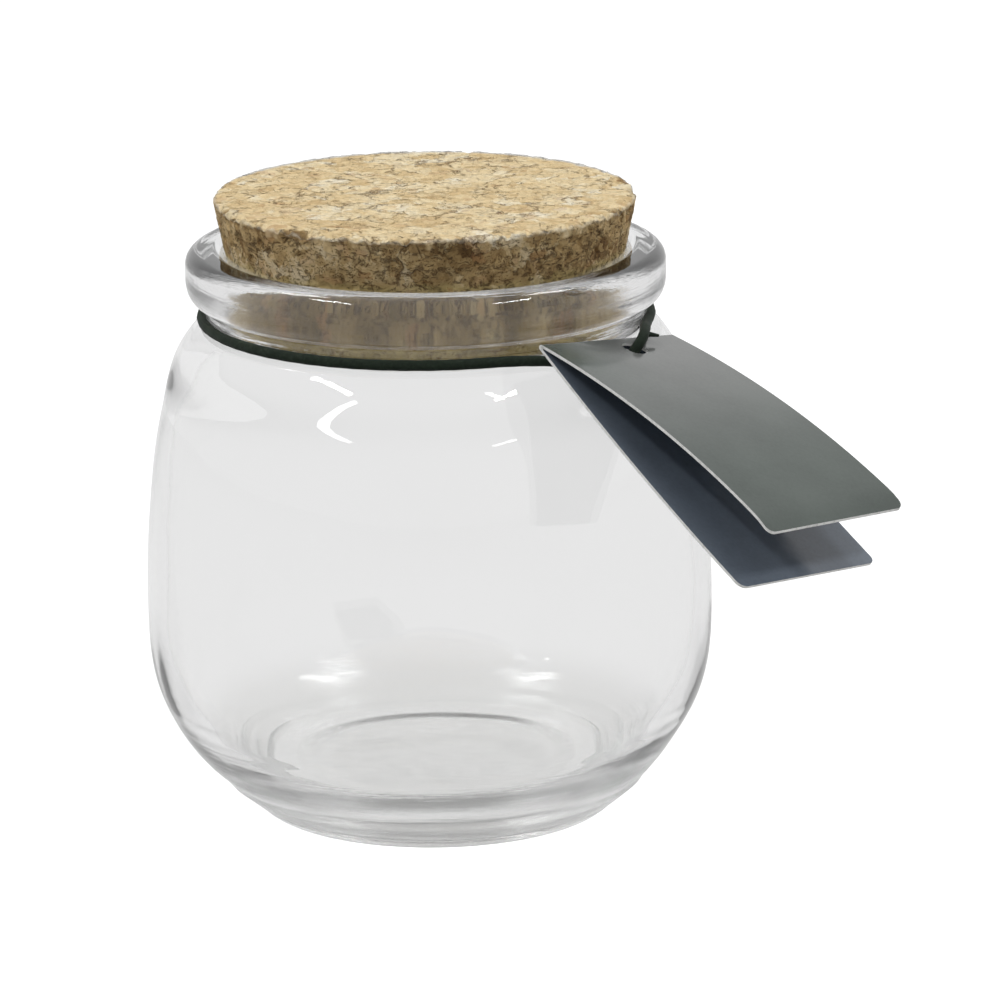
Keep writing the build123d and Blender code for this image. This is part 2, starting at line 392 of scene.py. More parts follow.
def warped(tree, coords, scale, reach, detail):
    """Coordinates that wander by up to half the reach, in metres."""
    wander = add(tree, "TexNoise", {"Vector": coords, "Scale": scale, "Detail": detail}).outputs["Color"]
    centred = add(tree, "VectorMath", {0: wander, 1: (0.5, 0.5, 0.5)}, operation="SUBTRACT").outputs[0]
    moved = add(tree, "VectorMath", {0: centred, 1: (reach, reach, reach)}, operation="MULTIPLY").outputs[0]
    return add(tree, "VectorMath", {0: coords, 1: moved}, operation="ADD").outputs[0]


def channel(tree, cells, name):
    """One random number for each cell."""
    return add(tree, "SeparateColor", {0: cells.outputs["Color"]}).outputs[name]


def shaded(tree, colour, share):
    """The colour times a share."""
    return add(tree, "VectorMath", {0: colour, "Scale": share}, operation="SCALE").outputs[0]


def laid_over(tree, base, share, tone):
    """The base with a tone laid over it, as strongly as the share and the tone's own strength say."""
    strength, colour = tone
    return mix_colour(tree, maths(tree, "MULTIPLY", share, strength), base, colour)


def glass_material():
    """Clear pressed glass, faintly grey in its thickness, with slight waves in its surface."""
    material, tree, shader = new_material("jar_glass")
    neck, foot = mark(tree, "neck"), mark(tree, "foot")
    pressed = maths(tree, "ADD", neck, maths(tree, "MULTIPLY", foot, FOOT_RELIEF))
    soft = maths(tree, "ADD", maths(tree, "MULTIPLY", neck, NECK_SOFT),
                 maths(tree, "MULTIPLY", foot, FOOT_SOFT))
    streaks = noise_value(tree, object_coords(tree, (1, 1, 22)), 38, 4.0, 0.6, 0.4)
    patches = noise_value(tree, object_coords(tree, (1, 1, 4)), 60, 3.0, 0.6)
    waves = noise_value(tree, object_coords(tree, (1, 1, 0.45)), 55, 1.0, 0.4)
    slow = bump(tree, waves, 0.25, 0.0006)
    set_inputs(tree, shader, {
        "Transmission Weight": 1,
        "IOR": GLASS_IOR,
        "Base Color": mix_colour(tree, foot, GLASS_CLEAR, GLASS_FOOT),
        "Roughness": remap(tree, maths(tree, "MULTIPLY", soft, patches), 0, 1, *GLASS_ROUGH),
        "Normal": bump(tree, streaks, maths(tree, "MULTIPLY", pressed, 0.30), 0.0006, Normal=slow)})
    absorb = add(tree, "VolumeAbsorption", {"Color": GLASS_BODY, "Density": GLASS_DENSITY})
    clear = add(tree, "BsdfTransparent", {"Color": GLASS_SHADOW})
    lamp_ray = add(tree, "LightPath").outputs["Is Shadow Ray"]
    both = add(tree, "MixShader", {"Fac": lamp_ray, 1: shader.outputs[0], 2: clear.outputs[0]})
    set_inputs(tree, tree.nodes["Material Output"], {"Volume": absorb.outputs[0], "Surface": both.outputs[0]})
    return material


def cork_material():
    """Pressed cork: flat warm granules, thin broken dark cracks and specks, a pale arris that is partly wear
    and partly a painted highlight, painted light and shade on the flank, and a painted sheen on the back edge
    of the top.
    """
    material, tree, shader = new_material("pressed_cork")
    at = object_coords(tree)
    side, chip, wear_and_painted_light, front_shade, low, painted_edge_sheen, sunk = (mark(tree, name) for name in CORK_MARKS)
    wide = warped(tree, at, 230, 0.0050, 3.0)
    near = warped(tree, wide, 800, 0.0022, 3.0)
    cells, bits, joints = (
        add(tree, "TexVoronoi", {"Vector": near, "Scale": scale}, feature=feature)
        for scale, feature in ((GRANULE_SCALE, "F1"), (BIT_SCALE, "F1"), (GRANULE_SCALE, "DISTANCE_TO_EDGE")))
    grain = noise_value(tree, at, 1100, 4.0, 0.65)
    mottle = noise_value(tree, near, 240, 5.0, 0.7)
    tone = maths(tree, "ADD", maths(tree, "MULTIPLY", channel(tree, cells, "Red"), 0.42),
                 maths(tree, "MULTIPLY", channel(tree, bits, "Green"), 0.26))
    tone = maths(tree, "ADD", tone, remap(tree, mottle, 0.3, 0.7, 0.0, 0.32))
    # The flank takes darker tones than the top, partly for its rougher cork and partly as painted shade
    base = mix_colour(tree, side, ramp(tree, tone, TOP_TONES), ramp(tree, tone, FLANK_TONES_WITH_SHADE))
    base = shaded(tree, base, remap(tree, grain, 0.3, 0.7, 0.86, 1.10))
    base = laid_over(tree, base, sunk, SUNK_TONE)
    # Painted shade: the flank is darkened towards the front and where the neck holds it at the front
    base = mix_colour(tree, front_shade, base, FRONT_SHADE_TONE, "MULTIPLY")
    # Painted light: the flank is lightened to a pale olive where the lip shades it, and it is also paler near
    # its foot
    base = laid_over(tree, base, low, LIP_LIGHT_AND_FOOT_TONE)
    base = laid_over(tree, base, remap(tree, channel(tree, bits, "Blue"), 0.92, 0.95), RUDDY_TONE)
    # Thin wandering cracks, broken off by finer noise
    open_here = remap(tree, noise_value(tree, at, 240, 4.0, 0.7), *CRACK_OPENS)
    crack = maths(tree, "MULTIPLY", remap(tree, joints.outputs["Distance"], 0.01, 0.07, 0.9, 0.0), open_here)
    wander = maths(tree, "ABSOLUTE", maths(tree, "SUBTRACT", noise_value(tree, at, 240, 6.0, 0.62, 1.4), 0.5))
    torn = maths(tree, "MULTIPLY", remap(tree, wander, 0.004, 0.018, 1.0, 0.0),
                 remap(tree, noise_value(tree, at, 260, 4.0, 0.7), *CRACK_OPENS))
    # Dark fibres and specks, more of them on the flank, and the gaps that they make with the cracks
    fibres = noise_value(tree, object_coords(tree, (1, 1, 2.2), (0.5, 0.3, 0)), 520, 5.0, 0.72, 1.6)
    specks = maths(tree, "MAXIMUM", remap(tree, fibres, 0.565, 0.63),
                   remap(tree, noise_value(tree, near, 900, 3.0, 0.7, 0.8), 0.60, 0.66))
    specks = maths(tree, "MULTIPLY", specks, remap(tree, side, 0, 1, 0.16, 0.85))
    lines = maths(tree, "MAXIMUM", crack, torn)
    gaps = maths(tree, "MAXIMUM", lines, maths(tree, "MAXIMUM", chip, specks), True)
    gap_share = maths(tree, "MULTIPLY", gaps, remap(tree, side, 0, 1, 0.70, 0.85))
    base = mix_colour(tree, gap_share, base, mix_colour(tree, side, GAP_ON_TOP, GAP_ON_FLANK))
    # Painted light: the arris is pale partly for wear and partly as a painted highlight, and the flank in the
    # bore is lightened against its shade
    base = laid_over(tree, base, wear_and_painted_light, WEAR_AND_LIGHT_TONE)
    # Painted sheen: a pale grey band along the back edge of the top
    base = laid_over(tree, base, painted_edge_sheen, EDGE_SHEEN_TONE)
    height = maths(tree, "ADD", maths(tree, "MULTIPLY", grain, 0.35), maths(tree, "MULTIPLY", tone, 0.45))
    height = maths(tree, "SUBTRACT", height, maths(tree, "MULTIPLY", gaps, 0.8))
    set_inputs(tree, shader, {"Base Color": base, "Roughness": 0.85, "Specular IOR Level": 0.25,
                              "Normal": bump(tree, height, 0.9, 0.0007)})
    return material


def elastic_material():
    """Matt dark green-black cord cover with fine lengthwise threads."""
    material, tree, shader = new_material("elastic_cord")
    at = object_coords(tree)
    threads = noise_value(tree, at, 1400, 3.0, 0.6)
    cloudy = noise_value(tree, at, 260, 2.0, 0.5)
    mixed = maths(tree, "ADD", maths(tree, "MULTIPLY", threads, 0.6), maths(tree, "MULTIPLY", cloudy, 0.4))
    set_inputs(tree, shader, {
        "Base Color": ramp(tree, mixed, ELASTIC_TONES), "Roughness": 0.75, "Specular IOR Level": 0.14,
        "Sheen Weight": 0.04, "Normal": bump(tree, threads, 0.5, 0.0002)})
    return material


def card_material():
    """Glossy dark printed card: laminated faces, with faint scuffs, and a painted sheen that pales the
    outside towards the fold.
    """
    material, tree, shader = new_material("tag_card")
    at = object_coords(tree)
    cloudy = noise_value(tree, at, 70, 3.0, 0.5)
    speck = noise_value(tree, at, 1500, 2.0, 0.6)
    mixed = maths(tree, "ADD", maths(tree, "MULTIPLY", cloudy, 0.75), maths(tree, "MULTIPLY", speck, 0.25))
    fresh, pale, inside = (ramp(tree, mixed, tones) for tones in (PRINT_FRESH, PRINT_WITH_SHEEN, PRINT_INSIDE))
    # Painted sheen: the outside is paler where the mesh marks it
    outside = mix_colour(tree, mark(tree, "painted_sheen"), fresh, pale)
    set_inputs(tree, shader, {
        "Base Color": mix_colour(tree, mark(tree, "inner"), outside, inside),
        "Roughness": remap(tree, noise_value(tree, at, 190, 5.0, 0.7), 0.35, 0.75, 0.10, 0.22),
        "IOR": 1.5,
        "Normal": bump(tree, cloudy, 0.12, 0.0006)})
    return material


def edge_material():
    """Pale core of the card, bare at its cut edges."""
    material, tree, shader = new_material("tag_cut_edge")
    fibre = noise_value(tree, object_coords(tree), 900, 4.0, 0.7)
    set_inputs(tree, shader, {"Base Color": ramp(tree, fibre, CUT_EDGE_TONES), "Roughness": 0.8,
                              "Normal": bump(tree, fibre, 0.4, 0.0001)})
    return material


# Jar

def between(start, end, out_shares, rise_shares):
    """Points from start to end, with shares of the way out and up for those between them."""
    shares = [(0, 0), *zip(out_shares, rise_shares), (1, 1)]
    return [(start[0] + out * (end[0] - start[0]), start[1] + rise * (end[1] - start[1]))
            for out, rise in shares]


def jar_outline():
    """Closed section of the glass, from the middle of its underside round to the middle of its floor."""
    belly, belly_in = (BODY_R, BELLY_Z), (BODY_R - WALL, BELLY_Z)
    bore_end_z = RIM_Z - BORE_DEPTH
    bowl = between((HEEL_R, HEEL_Z), belly, BOWL_OUT_SHARES, BOWL_RISE_SHARES)
    shoulder = between(belly, (SHOULDER_R, SHOULDER_Z), SHOULDER_IN_SHARES, SHOULDER_RISE_SHARES)
    inner_shoulder = between(belly_in, (BORE_R, bore_end_z), SHOULDER_IN_SHARES[:2], SHOULDER_RISE_SHARES[:2])
    inner_bowl = between((FLOOR_R, FLOOR_Z), belly_in, INNER_OUT_SHARES, INNER_RISE_SHARES)
    hollow_end = flowing([(FOOT_INNER_R - HOLLOW_EDGE_IN, HOLLOW_Z), (FOOT_INNER_R + HOLLOW_EDGE_OUT, 0)],
                         (1, 0), (1, 0), 12)
    seam = [(FOOT_R + out, FOOT_ROUND + up) for out, up in SEAM_SHAPE]
    foot = [(FOOT_R - FOOT_ROUND, 0), (FOOT_R - FOOT_ROUND * 0.3, FOOT_ROUND * 0.25), seam[0]]
    bead_high = (BEAD_R, GROOVE_HIGH_Z + BEAD_UNDER_LENGTH)
    bead_step = [(GROOVE_LIP_R + out, GROOVE_HIGH_Z + up) for out, up in BEAD_STEP_SHAPE]
    bead_step += [(BEAD_R - BEAD_EDGE_IN, GROOVE_HIGH_Z + BEAD_EDGE_RISE), bead_high]
    lip = (BORE_R + LIP_ROUND, RIM_Z - LIP_ROUND)
    return join_runs(
        straight((0, HOLLOW_Z), hollow_end[0], 16),
        hollow_end,
        straight(hollow_end[-1], foot[0], 3),
        flowing(foot, (1, 0), (1, 1), 5),
        seam,
        straight(seam[-1], (HEEL_R - HEEL_STEP_IN, HEEL_Z - HEEL_STEP_DOWN), 4),
        flowing(bowl, (1, 0.8), (0, 1), 14),
        flowing(shoulder, (0, 1), (-1, 1), 14),
        [(GROOVE_LIP_R, GROOVE_LOW_Z), (GROOVE_R, GROOVE_LOW_Z), (GROOVE_R, GROOVE_HIGH_Z)],
        flowing(bead_step, (0.05, 1), (0, 1), 6),
        straight(bead_high, (BEAD_R, RIM_Z - BEAD_TOP_ROUND), 2),
        arc((BEAD_R - BEAD_TOP_ROUND, RIM_Z - BEAD_TOP_ROUND), BEAD_TOP_ROUND, 0, 90, 12),
        arc(lip, LIP_ROUND, 90, 180, 12),
        straight((BORE_R, lip[1]), (BORE_R, bore_end_z), 4),
        flowing(inner_shoulder[::-1], (0.16, -1), (0, -1), 16),
        flowing(inner_bowl[::-1], (0, -1), (-1, -0.3), 14),
        straight((FLOOR_R, FLOOR_Z), (0, FLOOR_Z), 24),
    )


def wavy_glass(verts):
    """Slow waves of pressed glass, none at the neck, and a foot that sits slightly wide and to one side."""
    moved = verts.copy()
    for i, (x, y, z) in enumerate(verts):
        r = math.hypot(x, y)
        if r < 1:
            continue
        low = 1 - smooth_share(z, *FOOT_SHIFT_Z)
        spread = FOOT_SPREAD * low * smooth_share(r, *FOOT_SPREAD_R)
        push = 0.0
        if WAVE_LOW_Z < z < WAVE_HIGH_Z:
            inside = z > FLOOR_Z - 0.5 and r < INSIDE_R and not (z < INSIDE_LOW_Z and r > INSIDE_LOW_R)
            fade = min(1.0, (WAVE_HIGH_Z - z) / WAVE_HIGH_FADE, (z - WAVE_LOW_Z) / WAVE_LOW_FADE)
            slow = noise.noise(Vector((x / SLOW_ACROSS, y / SLOW_ACROSS, z / SLOW_UP)))
            quick = noise.noise(Vector((x / QUICK_ACROSS + 7, y / QUICK_ACROSS, z / QUICK_UP)))
            push = (WAVE_INSIDE if inside else WAVE_OUTSIDE) * fade * (slow + QUICK_SHARE * quick)
        moved[i, 0] += (push + spread) * x / r + FOOT_SHIFT * low
        moved[i, 1] += (push + spread) * y / r
    return moved


def make_jar():
    """The glass, with marks for the softer pressed surface at its neck and foot."""
    verts, faces = lathe(jar_outline(), GLASS_TURNS, wavy_glass)
    material = glass_material()
    jar = mesh_piece("glass_jar", verts, faces, "jar", "jar_body", material, GLASS_SHARP_DEG)
    neck = [smooth_share(z, *NECK_MARK_ON) * (1 - NECK_MARK_FADES * smooth_share(z, *NECK_MARK_OFF))
            for z in verts[:, 2]]
    foot = [1 - smooth_share(z, *FOOT_MARK_OFF) for z in verts[:, 2]]
    set_marks(jar, {"neck": neck, "foot": foot})


# Cork

CORK_TURNS = 160
CORK_VOXEL = 0.38
# How far from the arris the cork crumbles, how much of that the back has, and how deep it goes
CHIP_REACH = 1.7
CHIP_AT_BACK = 0.10
CHIP_IN = 0.5
CHIP_DOWN = 0.75
# How far down the flank's tones have a ragged edge, and how far from the arris the cork is pale, partly for
# wear and partly as a painted highlight
RAGGED_DEPTH = 1.8
PALE_ARRIS_REACH = 0.75
# Depth below the top from which the glass of the neck holds the skin smooth
HELD_FROM = 9.5
# Depths below the top between which each mark of the embedded flank comes on or goes off
BORE_LIGHT_ON, BORE_LIGHT_OFF = (9.0, 9.8), (10.6, 12.0)
SUNK_ON = (9.2, 10.4)
NECK_SHADE_ON = (9.4, 10.6)
# Where the lip shades the flank, which painted light lifts
LIP_ON, LIP_OFF = (7.8, 9.4), (10.4, 12.0)
FOOT_ON = (16.8, 18.4)
# Shares of facing the front between which the painted shade in the neck comes on and the painted light in the
# bore goes off
FRONT_ON = (0.3, 0.75)


def cork_blank():
    """Evenly meshed blank of the stopper, as points in millimetres and faces."""
    foot_r = CORK_TOP_R - CORK_H * math.tan(CORK_TAPER)
    foot_z = CORK_TOP_Z - CORK_H
    outline = join_runs(
        [(0, foot_z), (foot_r - 1, foot_z), (foot_r + 0.15, foot_z + 0.9)],
        [(CORK_TOP_R - 0.08, CORK_TOP_Z - 0.35), (CORK_TOP_R - 0.35, CORK_TOP_Z), (0, CORK_TOP_Z)])
    verts, faces = lathe(outline, CORK_TURNS)
    mesh = bpy.data.meshes.new("cork_blank")
    mesh.from_pydata([tuple(v) for v in verts], [], faces)
    blank = put_in_scene("cork_blank", mesh)
    remesh = blank.modifiers.new("even", "REMESH")
    remesh.mode = "VOXEL"
    remesh.voxel_size = CORK_VOXEL
    bpy.context.view_layer.update()
    even = bpy.data.meshes.new_from_object(blank.evaluated_get(bpy.context.evaluated_depsgraph_get()))
    points = np.array([v.co for v in even.vertices])
    normals = np.array([v.normal for v in even.vertices])
    faces = [tuple(p.vertices) for p in even.polygons]
    bpy.data.objects.remove(blank)
    bpy.data.meshes.remove(even)
    return points, normals, faces


def band_share(value, on, off):
    """0, then 1, then 0 again, with a smooth turn from on[0] to on[1] and from off[0] to off[1]."""
    return smooth_share(value, *on) * (1 - smooth_share(value, *off))


def skin_height(at, flank):
    """The uneven skin and its torn pits, both stronger on the flank."""
    height = (0.05 + 0.08 * flank) * noise.noise(at * 1.1) + (0.04 + 0.05 * flank) * noise.noise(at * 3.1)
    torn = max(0.0, noise.noise(at * 0.55 + Vector((3, 8, 5))) - 0.30) * 2.4
    return height - min(0.5, torn) * (0.35 + 0.65 * flank)


def skin_marks(at, from_top, from_side, arris, facing, flank):
    """What the cork's material reads at one place, apart from the chips."""
    in_front = smooth_share(facing, *FRONT_ON)
    # Painted light: the flank in the bore, away from the front, is made pale against the lip's shade, and the
    # arris is pale partly for wear and partly as a painted highlight
    painted_bore_light = band_share(from_top, BORE_LIGHT_ON, BORE_LIGHT_OFF) * (1 - in_front)
    wear_and_painted_light = max(0.0, 1 - arris / PALE_ARRIS_REACH) * (0.8 + 0.9 * noise.noise(at * 0.9)) + 0.9 * painted_bore_light
    # Painted shade, darker towards the front of the flank and on the part held in the neck at the front
    front = max(0.0, facing + 0.15 * noise.noise(at * 0.12))
    neck_shade = smooth_share(from_top, *NECK_SHADE_ON) * in_front
    front_shade = flank * max(neck_shade, 0.60 * front**5) * (0.85 + 0.5 * noise.noise(at * 0.16))
    # Painted light over the lip's shade on the flank, and a paler band near its foot
    depth = from_top + 1.2 * noise.noise(at * 0.4)
    low = flank * max(band_share(depth, LIP_ON, LIP_OFF), smooth_share(depth, *FOOT_ON))
    # Painted sheen: a pale grey band along the back edge of the top, wider towards the back
    edge_width = 0.7 + 1.9 * smooth_share(-facing, 0.1, 0.9) + 0.5 * noise.noise(at * 0.5)
    painted_edge_sheen = ((1 - smooth_share(from_side, 0.4 * edge_width, edge_width))
             * (1 - smooth_share(from_top, 0.3, 0.9)) * smooth_share(-facing, -0.15, 0.25))
    return {"side": flank, "wear_and_painted_light": wear_and_painted_light, "front_shade": front_shade, "low": low, "painted_edge_sheen": painted_edge_sheen,
            "sunk": flank * smooth_share(from_top, *SUNK_ON)}


def cork_relief(points, normals):
    """Gives the blank an uneven skin, torn pits and a chipped arris, and marks where each of these is."""
    moved = points.copy()
    marks = {name: np.zeros(len(points)) for name in CORK_MARKS}
    slope = math.tan(CORK_TAPER)
    for i, p in enumerate(points):
        at = Vector(p)
        r = math.hypot(p[0], p[1])
        from_top = CORK_TOP_Z - p[2]
        from_side = CORK_TOP_R - from_top * slope - r
        arris = math.hypot(max(from_top, 0), max(from_side, 0))
        angle = math.atan2(p[1], p[0])
        around = Vector((math.cos(angle) * 5.5, math.sin(angle) * 5.5, 0.3))
        ragged = (1.5 * noise.noise(around * 1.4) + 1.0 * noise.noise(around * 3.3)
                  + 0.25 * noise.noise(around * 8.0))
        if from_top > RAGGED_DEPTH:
            flank = 1 - smooth_share(from_side, 0.5, 1.5)
        else:
            flank = (smooth_share(from_top + ragged, 0.1, 0.5)
                     * (1 - smooth_share(from_side - ragged, 0.3, 0.9)))
        height = skin_height(at, flank)
        facing = -p[1] / max(r, 1.0)
        if arris < CHIP_REACH:
            in_front = smooth_share(facing, -0.5, 0.3)
            bite = max(0.0, noise.noise(around) - 0.05) * 2.6 + 0.6 * max(0.0, ragged)
            bite += max(0.0, noise.noise(around * 3.1)) * 2.6 + 0.5 * noise.noise(around * 7.5)
            bite *= CHIP_AT_BACK + (1 - CHIP_AT_BACK) * in_front
            near_arris = 1 - arris / CHIP_REACH
            height -= CHIP_IN * min(1.5, bite) * near_arris
            moved[i, 2] -= CHIP_DOWN * min(1.5, max(0.0, bite)) * near_arris
            crumbled = min(1.0, max(0.0, bite - 0.15) * 1.3) * smooth_share(from_top, 0.35, 0.8)
            notch = smooth_share(ragged, 0.45, 0.75) * in_front
            marks["chip"][i] = max(crumbled, notch) * near_arris**0.5
        if from_top > HELD_FROM:
            height = min(height, 0.0) * 0.4
        moved[i] += normals[i] * height
        for name, value in skin_marks(at, from_top, from_side, arris, facing, flank).items():
            marks[name][i] = value
    return moved, {name: np.clip(values, 0, 1) for name, values in marks.items()}


def make_cork():
    """The stopper, with its marks."""
    points, normals, faces = cork_blank()
    moved, marks = cork_relief(points, normals)
    piece = mesh_piece("cork_lid", moved, faces, "cork", "cork_stopper", cork_material())
    set_marks(piece, marks)


# Tag

def crease_frame():
    """Place of the crease: X along the fold, Y towards the jar, Z out of the front leaf, in millimetres."""
    joint = next(j for j in frame["joints"] if j["name"] == "tag_swing")
    along = Vector(joint["axis"]).normalized()
    outward = along.cross(UP).normalized()
    raised = outward.cross(along) * -1
    if raised.z < 0:
        raised.negate()
    normal = outward * math.sin(TAG_SLOPE) + raised * math.cos(TAG_SLOPE)
    inward = normal.cross(along)
    axes = Matrix((along, inward, normal)).transposed().to_4x4()
    return Matrix.Translation(Vector(joint["pos_m"]) / MM) @ axes


# How the card stands off flat, in millimetres
CARD_TWIST = 1.0
CARD_TWIST_BACK = 1.15
CARD_DROP = 0.2
CARD_BOW = 2.2
CARD_END_RISE = 1.1
CARD_LIP = 0.7
BACK_LEAF_RISE = 0.7
BACK_LEAF_SAG = 0.5
# How finely the card is meshed, and how much painted sheen its spine has
CUT_LENGTHWAYS = 1.5
CUT_ACROSS = 2
SPINE_SIDES = 20
SPINE_SHEEN = 0.9


def card_shift(back, x, share):
    """How far the card stands off flat: twisted at the fold, bowed along the front leaf, its end down."""
    twist = (CARD_TWIST - CARD_TWIST_BACK * share) * 2 * x / TAG_W
    arch = 4 * share * (1 - share)
    if back:
        return (-CARD_DROP - twist) * (1 - share) + BACK_LEAF_RISE * share - BACK_LEAF_SAG * arch
    lip = CARD_LIP * smooth_share(share, 0.93, 1.04)
    return -CARD_DROP + CARD_END_RISE * share + CARD_BOW * arch - twist - lip


def leaf_mesh(back):
    """One leaf of the card in the crease's frame: rounded corners, punched hole, bow, pale cut edge."""
    half = TAG_W / 2
    outline = [(-half, 0.0), (half, 0.0)]
    outline += arc((half - TAG_CORNER_R, -TAG_L + TAG_CORNER_R), TAG_CORNER_R, 0, -90, 8)
    outline += arc((-half + TAG_CORNER_R, -TAG_L + TAG_CORNER_R), TAG_CORNER_R, -90, -180, 8)
    hole = arc((TAG_HOLE_OFF_CENTRE, -TAG_HOLE_FROM_FOLD), TAG_HOLE_R, 0, 360, 32)[:-1]
    work = bmesh.new()
    edges = []
    for loop in (outline, hole):
        ring = [work.verts.new((x, y, 0)) for x, y in loop]
        edges += [work.edges.new((ring[k], ring[(k + 1) % len(ring)])) for k in range(len(ring))]
    bmesh.ops.triangle_fill(work, edges=edges, use_beauty=True, normal=(0, 0, 1))
    cuts = [((0, y, 0), (0, 1, 0)) for y in np.arange(-TAG_L + CUT_LENGTHWAYS, -0.4, CUT_LENGTHWAYS)]
    cuts += [((x, 0, 0), (1, 0, 0)) for x in np.arange(-half + CUT_ACROSS, half - 1, CUT_ACROSS)]
    for at, normal in cuts:
        bmesh.ops.bisect_plane(work, geom=work.verts[:] + work.edges[:] + work.faces[:],
                               plane_co=at, plane_no=normal)
    raised = bmesh.ops.extrude_face_region(work, geom=work.faces[:])
    for v in raised["geom"]:
        if isinstance(v, bmesh.types.BMVert):
            v.co.z = -CARD_T if back else CARD_T
    bmesh.ops.recalc_face_normals(work, faces=work.faces[:])
    inner = [all(abs(v.co.z) < 1e-6 for v in f.verts) for f in work.faces]
    edge = [abs(f.normal.z) < 0.5 for f in work.faces]
    painted_sheen = []
    for v in work.verts:
        share = -v.co.y / TAG_L
        # Painted sheen, paler towards the fold, held back near the fold on one side by a darker painted
        # reflection
        painted_reflection = (1 - smooth_share(v.co.x, -half, 3)) * (1 - smooth_share(share, 0.1, 0.45))
        painted_sheen.append((1 - smooth_share(share, 0.0, 0.8)) * (1 - 0.95 * painted_reflection))
        v.co.z += card_shift(back, v.co.x, share)
        if back:
            y, z = v.co.y, v.co.z
            v.co.y = y * math.cos(TAG_OPEN) - z * math.sin(TAG_OPEN)
            v.co.z = y * math.sin(TAG_OPEN) + z * math.cos(TAG_OPEN)
    work.verts.index_update()
    verts = [v.co.copy() for v in work.verts]
    faces = [tuple(v.index for v in f.verts) for f in work.faces]
    work.free()
    return verts, faces, edge, inner, painted_sheen


def spine_mesh():
    """Rounded spine of the fold, along the crease."""
    verts = []
    for end in (-TAG_W / 2, TAG_W / 2):
        lift = card_shift(False, end, 0)
        for k in range(SPINE_SIDES):
            a = 2 * math.pi * k / SPINE_SIDES
            verts.append(Vector((end, CARD_T * math.cos(a), CARD_T * math.sin(a) + lift)))
    faces = band(0, SPINE_SIDES, SPINE_SIDES)
    faces += [tuple(range(SPINE_SIDES))[::-1], tuple(range(SPINE_SIDES, 2 * SPINE_SIDES))]
    return verts, faces


def make_leaf(back, card, core):
    """One leaf of the tag, printed on its faces and bare at its edges. The front one carries the spine."""
    place = crease_frame()
    verts, faces, edge, inner, painted_sheen = leaf_mesh(back)
    if not back:
        spine_verts, spine_faces = spine_mesh()
        start = len(verts)
        # Painted sheen on the spine
        painted_sheen += [SPINE_SHEEN] * len(spine_verts)
        verts += spine_verts
        faces += [tuple(start + k for k in f) for f in spine_faces]
        edge += [len(f) > 4 for f in spine_faces]
        inner += [False] * len(spine_faces)
    verts = [place @ v for v in verts]
    side = "back" if back else "front"
    piece = mesh_piece(f"tag_{side}", verts, faces, f"{side}_leaf", f"tag_{side}_leaf", card,
                       CARD_SHARP_DEG)
    piece.data.materials.append(core)
    piece.data.polygons.foreach_set("material_index", [int(bare) for bare in edge])
    set_marks(piece, {"inner": inner}, "FACE")
    set_marks(piece, {"painted_sheen": painted_sheen})


# Elastic

# How far the elastic runs straight on from the groove before it goes under the tag, and back from over it
UNDER_RUN = 12.0
OVER_RUN = 8.0
# Its way through the tag and its cut tail, in the crease's frame
BELOW_HOLE = (1.5, -3.5, -4.0)
ABOVE_HOLE = (3.6, -4.1, 2.4)
ABOVE_FOLD = (9.4, 0.6, 1.7)
TAIL_ROOT = (6.4, -1.6, 1.9)
TAIL_TIP = (9.8, -2.3, 1.5)
TAIL_ROOT_R = 0.62
TAIL_TIP_R = 0.26
TAIL_STEPS = 10
TAIL_SIDES = 12
# Length of its meshed steps beside the tag and in the groove, and its sides
STEP = 0.8
GROOVE_STEP = 0.9
ELASTIC_SIDES = 20


def loop_angle(side):
    """Angle from +X at which the loop leaves the groove."""
    hole = crease_frame() @ Vector((TAG_HOLE_OFF_CENTRE, -TAG_HOLE_FROM_FOLD, 0))
    return math.atan2(hole.y, hole.x) + side * math.acos(LOOP_R / math.hypot(hole.x, hole.y))


def loop_point(side, run):
    """The place where the loop leaves the groove, or one straight on from there."""
    a = loop_angle(side)
    return Vector((LOOP_R * math.cos(a) + side * run * math.sin(a),
                   LOOP_R * math.sin(a) - side * run * math.cos(a), GROOVE_MID_Z))


def spline_points(points):
    """Even points along the smooth spline that has these control points, in millimetres."""
    curve = bpy.data.curves.new("route", "CURVE")
    curve.dimensions = "3D"
    curve.resolution_u = 24
    spline = curve.splines.new("NURBS")
    spline.points.add(len(points) - 1)
    for knot, p in zip(spline.points, points):
        knot.co = (*p, 1)
    spline.order_u = 3
    spline.use_endpoint_u = True
    route = bpy.data.objects.new("route", curve)
    line = bpy.data.meshes.new_from_object(route)
    found = np.array([v.co for v in line.vertices])
    bpy.data.objects.remove(route)
    bpy.data.meshes.remove(line)
    gone = np.concatenate([[0], np.cumsum(np.linalg.norm(np.diff(found, axis=0), axis=1))])
    even = np.linspace(0, gone[-1], int(gone[-1] / STEP) + 1)
    return [Vector([np.interp(g, gone, found[:, k]) for k in range(3)]) for g in even]


def ring_points(centre, across, other, radius, sides):
    """Points round a centre. The radius is given for each angle."""
    angles = [2 * math.pi * s / sides for s in range(sides)]
    return [centre + (across * math.cos(a) + other * math.sin(a)) * radius(a) for a in angles]


def elastic_line(place):
    """The middle of the elastic: through the tag first, then round the groove."""
    in_tag = [place @ Vector(p) for p in (BELOW_HOLE, ABOVE_HOLE, ABOVE_FOLD)]
    line = spline_points([loop_point(-1, 0), loop_point(-1, UNDER_RUN), *in_tag,
                          loop_point(1, OVER_RUN), loop_point(1, 0)])
    first, last = loop_angle(-1), loop_angle(1)
    covered = 2 * math.pi - (last - first)
    steps = int(LOOP_R * covered / GROOVE_STEP)
    for k in range(1, steps):
        a = last + covered * k / steps
        line.append(Vector((LOOP_R * math.cos(a), LOOP_R * math.sin(a), GROOVE_MID_Z)))
    return line


